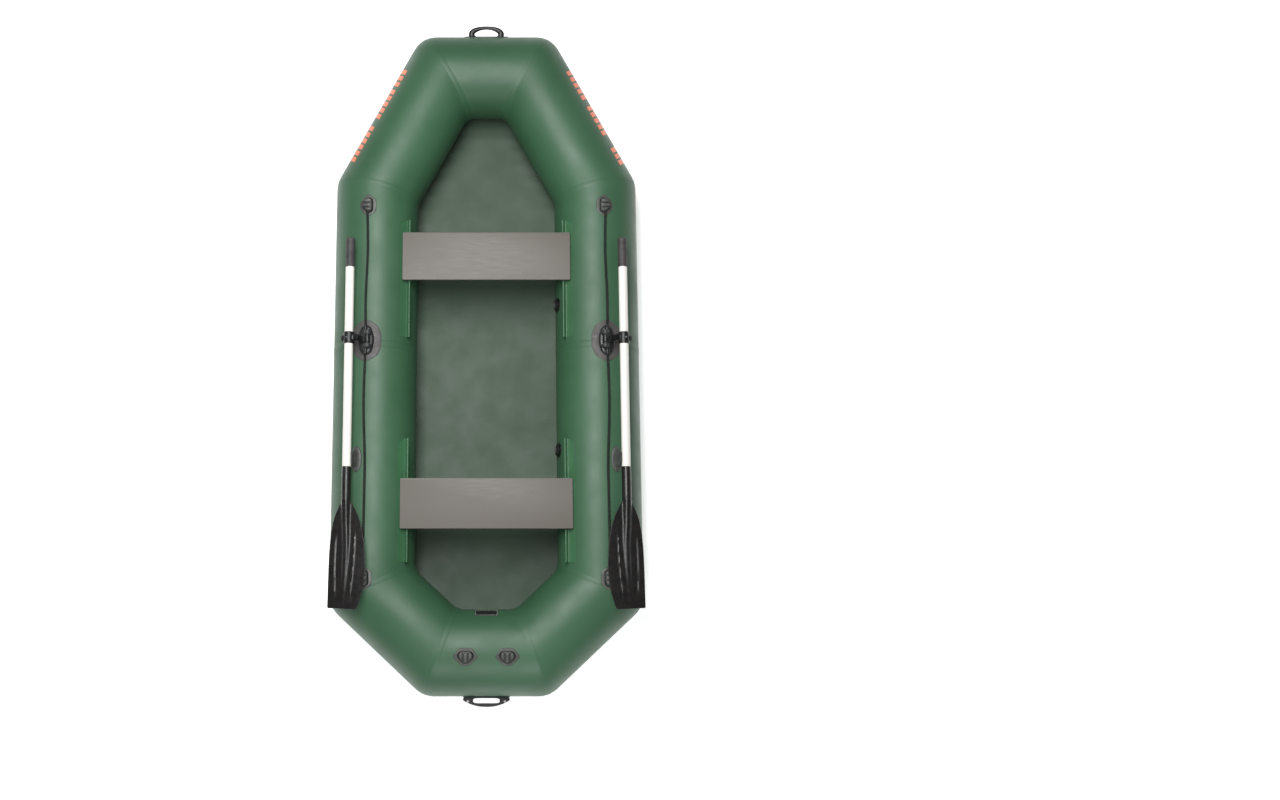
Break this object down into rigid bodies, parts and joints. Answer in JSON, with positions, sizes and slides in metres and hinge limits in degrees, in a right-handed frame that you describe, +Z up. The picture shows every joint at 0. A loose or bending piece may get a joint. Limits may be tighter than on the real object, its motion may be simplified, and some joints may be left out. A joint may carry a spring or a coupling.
{
  "type": "inflatable rowing boat",
  "caption": "Inflatable rowing boat: a ring of fabric tubes with blunt bow and stern, sliding bench seats, oars in swivelling oarlocks, grab lines and end handles.",
  "frame": {"origin": "on the ground under the middle of the boat, at the bottom of the tubes", "axes": "+Z up, +Y towards the bow along the boat, +X to starboard"},
  "size_m": [1.27, 2.8715, 0.4153],
  "materials": {
    "hull_fabric": "satin coated fabric",
    "rail_fabric": "satin coated fabric",
    "floor_fabric": "matte coated fabric",
    "bench_board": "satin film-faced plywood",
    "bench_guide": "matte",
    "screw_steel": "brushed",
    "patch_rubber": "matte",
    "fitting_plastic": "matte moulded",
    "valve_plunger": "matte",
    "eye_rubber": "matte moulded",
    "oar_tube": "anodised",
    "grip_rubber": "matte",
    "blade_plastic": "satin moulded",
    "grab_rope": "braided",
    "label": "matte, blank"
  },
  "bodies": {
    "hull": {"bow_tube": "hull_fabric", "stern_tube": "hull_fabric", "port_bow_quarter": "hull_fabric", "port_fore_side": "hull_fabric", "port_aft_side": "hull_fabric", "port_stern_quarter": "hull_fabric", "port_bulkhead": "hull_fabric", "port_fore_rail": "rail_fabric", "port_aft_rail": "rail_fabric", "port_lock_patch": "patch_rubber", "port_lock_base": "fitting_plastic", "port_lift_pin": "screw_steel", "port_oar_rest": "fitting_plastic", "port_grab_line": "grab_rope", "starboard_bow_quarter": "hull_fabric", "starboard_fore_side": "hull_fabric", "starboard_aft_side": "hull_fabric", "starboard_stern_quarter": "hull_fabric", "starboard_bulkhead": "hull_fabric", "starboard_fore_rail": "rail_fabric", "starboard_aft_rail": "rail_fabric", "starboard_lock_patch": "patch_rubber", "starboard_lock_base": "fitting_plastic", "starboard_lift_pin": "screw_steel", "starboard_oar_rest": "fitting_plastic", "starboard_grab_line": "grab_rope", "floor_sheet": "floor_fabric", "fore_valve_body": "fitting_plastic", "aft_valve_body": "fitting_plastic", "bow_handle": "eye_rubber", "stern_handle": "eye_rubber", "stern_handle_screws": "screw_steel", "fore_rope_eyes": "eye_rubber", "aft_rope_eyes": "eye_rubber", "stern_rope_eyes": "eye_rubber", "label_plate": "label"},
    "fore_bench": {"fore_bench_board": "bench_board", "fore_bench_guides": "bench_guide", "fore_bench_screws": "screw_steel"},
    "aft_bench": {"aft_bench_board": "bench_board", "aft_bench_guides": "bench_guide", "aft_bench_screws": "screw_steel"},
    "port_lock_arm": {"port_lock_arm": "fitting_plastic", "port_collar_pin": "screw_steel"},
    "port_collar": {"port_oar_collar": "fitting_plastic"},
    "port_thumbscrew": {"port_thumbscrew": "fitting_plastic"},
    "port_oar": {"port_oar_shaft": "oar_tube", "port_oar_grip": "grip_rubber", "port_oar_blade": "blade_plastic"},
    "starboard_lock_arm": {"starboard_lock_arm": "fitting_plastic", "starboard_collar_pin": "screw_steel"},
    "starboard_collar": {"starboard_oar_collar": "fitting_plastic"},
    "starboard_thumbscrew": {"starboard_thumbscrew": "fitting_plastic"},
    "starboard_oar": {"starboard_oar_shaft": "oar_tube", "starboard_oar_grip": "grip_rubber", "starboard_oar_blade": "blade_plastic"},
    "fore_valve_cap": {"fore_valve_cap": "fitting_plastic"},
    "fore_valve_plunger": {"fore_valve_plunger": "valve_plunger"},
    "aft_valve_cap": {"aft_valve_cap": "fitting_plastic"},
    "aft_valve_plunger": {"aft_valve_plunger": "valve_plunger"}
  },
  "joints": [
    {"name": "fore_bench_slide", "type": "slide", "parent": "hull", "child": "fore_bench", "axis": [0, 1, 0], "range_m": [-0.237, 0.059]},
    {"name": "aft_bench_slide", "type": "slide", "parent": "hull", "child": "aft_bench", "axis": [0, 1, 0], "range_m": [-0.131, 0.165]},
    {"name": "port_oar_lift", "type": "hinge", "parent": "hull", "child": "port_lock_arm", "pos_m": [-0.48172, 0.021, 0.37208], "axis": [0, 1, 0], "range_deg": [0, 40]},
    {"name": "port_oar_swing", "type": "hinge", "parent": "port_lock_arm", "child": "port_collar", "pos_m": [-0.51718, 0.021, 0.38471], "axis": [0.342, 0, -0.9397], "range_deg": [0, 150]},
    {"name": "port_thumbscrew_turn", "type": "hinge", "parent": "port_collar", "child": "port_thumbscrew", "pos_m": [-0.57578, 0.021, 0.37615], "axis": [-0.9397, 0, -0.342], "range_deg": [0, 180]},
    {"name": "port_oar_turn", "type": "hinge", "parent": "port_collar", "child": "port_oar", "pos_m": [-0.55511, 0.021, 0.38367], "axis": [0, 1, 0], "range_deg": [-30, 30]},
    {"name": "starboard_oar_lift", "type": "hinge", "parent": "hull", "child": "starboard_lock_arm", "pos_m": [0.48172, 0.021, 0.37208], "axis": [0, -1, 0], "range_deg": [0, 40]},
    {"name": "starboard_oar_swing", "type": "hinge", "parent": "starboard_lock_arm", "child": "starboard_collar", "pos_m": [0.51718, 0.021, 0.38471], "axis": [0.342, 0, 0.9397], "range_deg": [0, 150]},
    {"name": "starboard_thumbscrew_turn", "type": "hinge", "parent": "starboard_collar", "child": "starboard_thumbscrew", "pos_m": [0.57578, 0.021, 0.37615], "axis": [0.9397, 0, -0.342], "range_deg": [0, 180]},
    {"name": "starboard_oar_turn", "type": "hinge", "parent": "starboard_collar", "child": "starboard_oar", "pos_m": [0.55511, 0.021, 0.38367], "axis": [0, 1, 0], "range_deg": [-30, 30]},
    {"name": "fore_valve_cap_turn", "type": "hinge", "parent": "hull", "child": "fore_valve_cap", "pos_m": [0.29588, 0.201, 0.21715], "axis": [-0.9659, 0, 0.2588], "range_deg": [0, 90]},
    {"name": "fore_valve_push", "type": "slide", "parent": "hull", "child": "fore_valve_plunger", "axis": [0.9659, 0, -0.2588], "range_m": [0, 0.006], "stiffness_N_per_m": 400},
    {"name": "aft_valve_cap_turn", "type": "hinge", "parent": "hull", "child": "aft_valve_cap", "pos_m": [0.29588, -0.411, 0.21715], "axis": [-0.9659, 0, 0.2588], "range_deg": [0, 90]},
    {"name": "aft_valve_push", "type": "slide", "parent": "hull", "child": "aft_valve_plunger", "axis": [0.9659, 0, -0.2588], "range_m": [0, 0.006], "stiffness_N_per_m": 400}
  ]
}
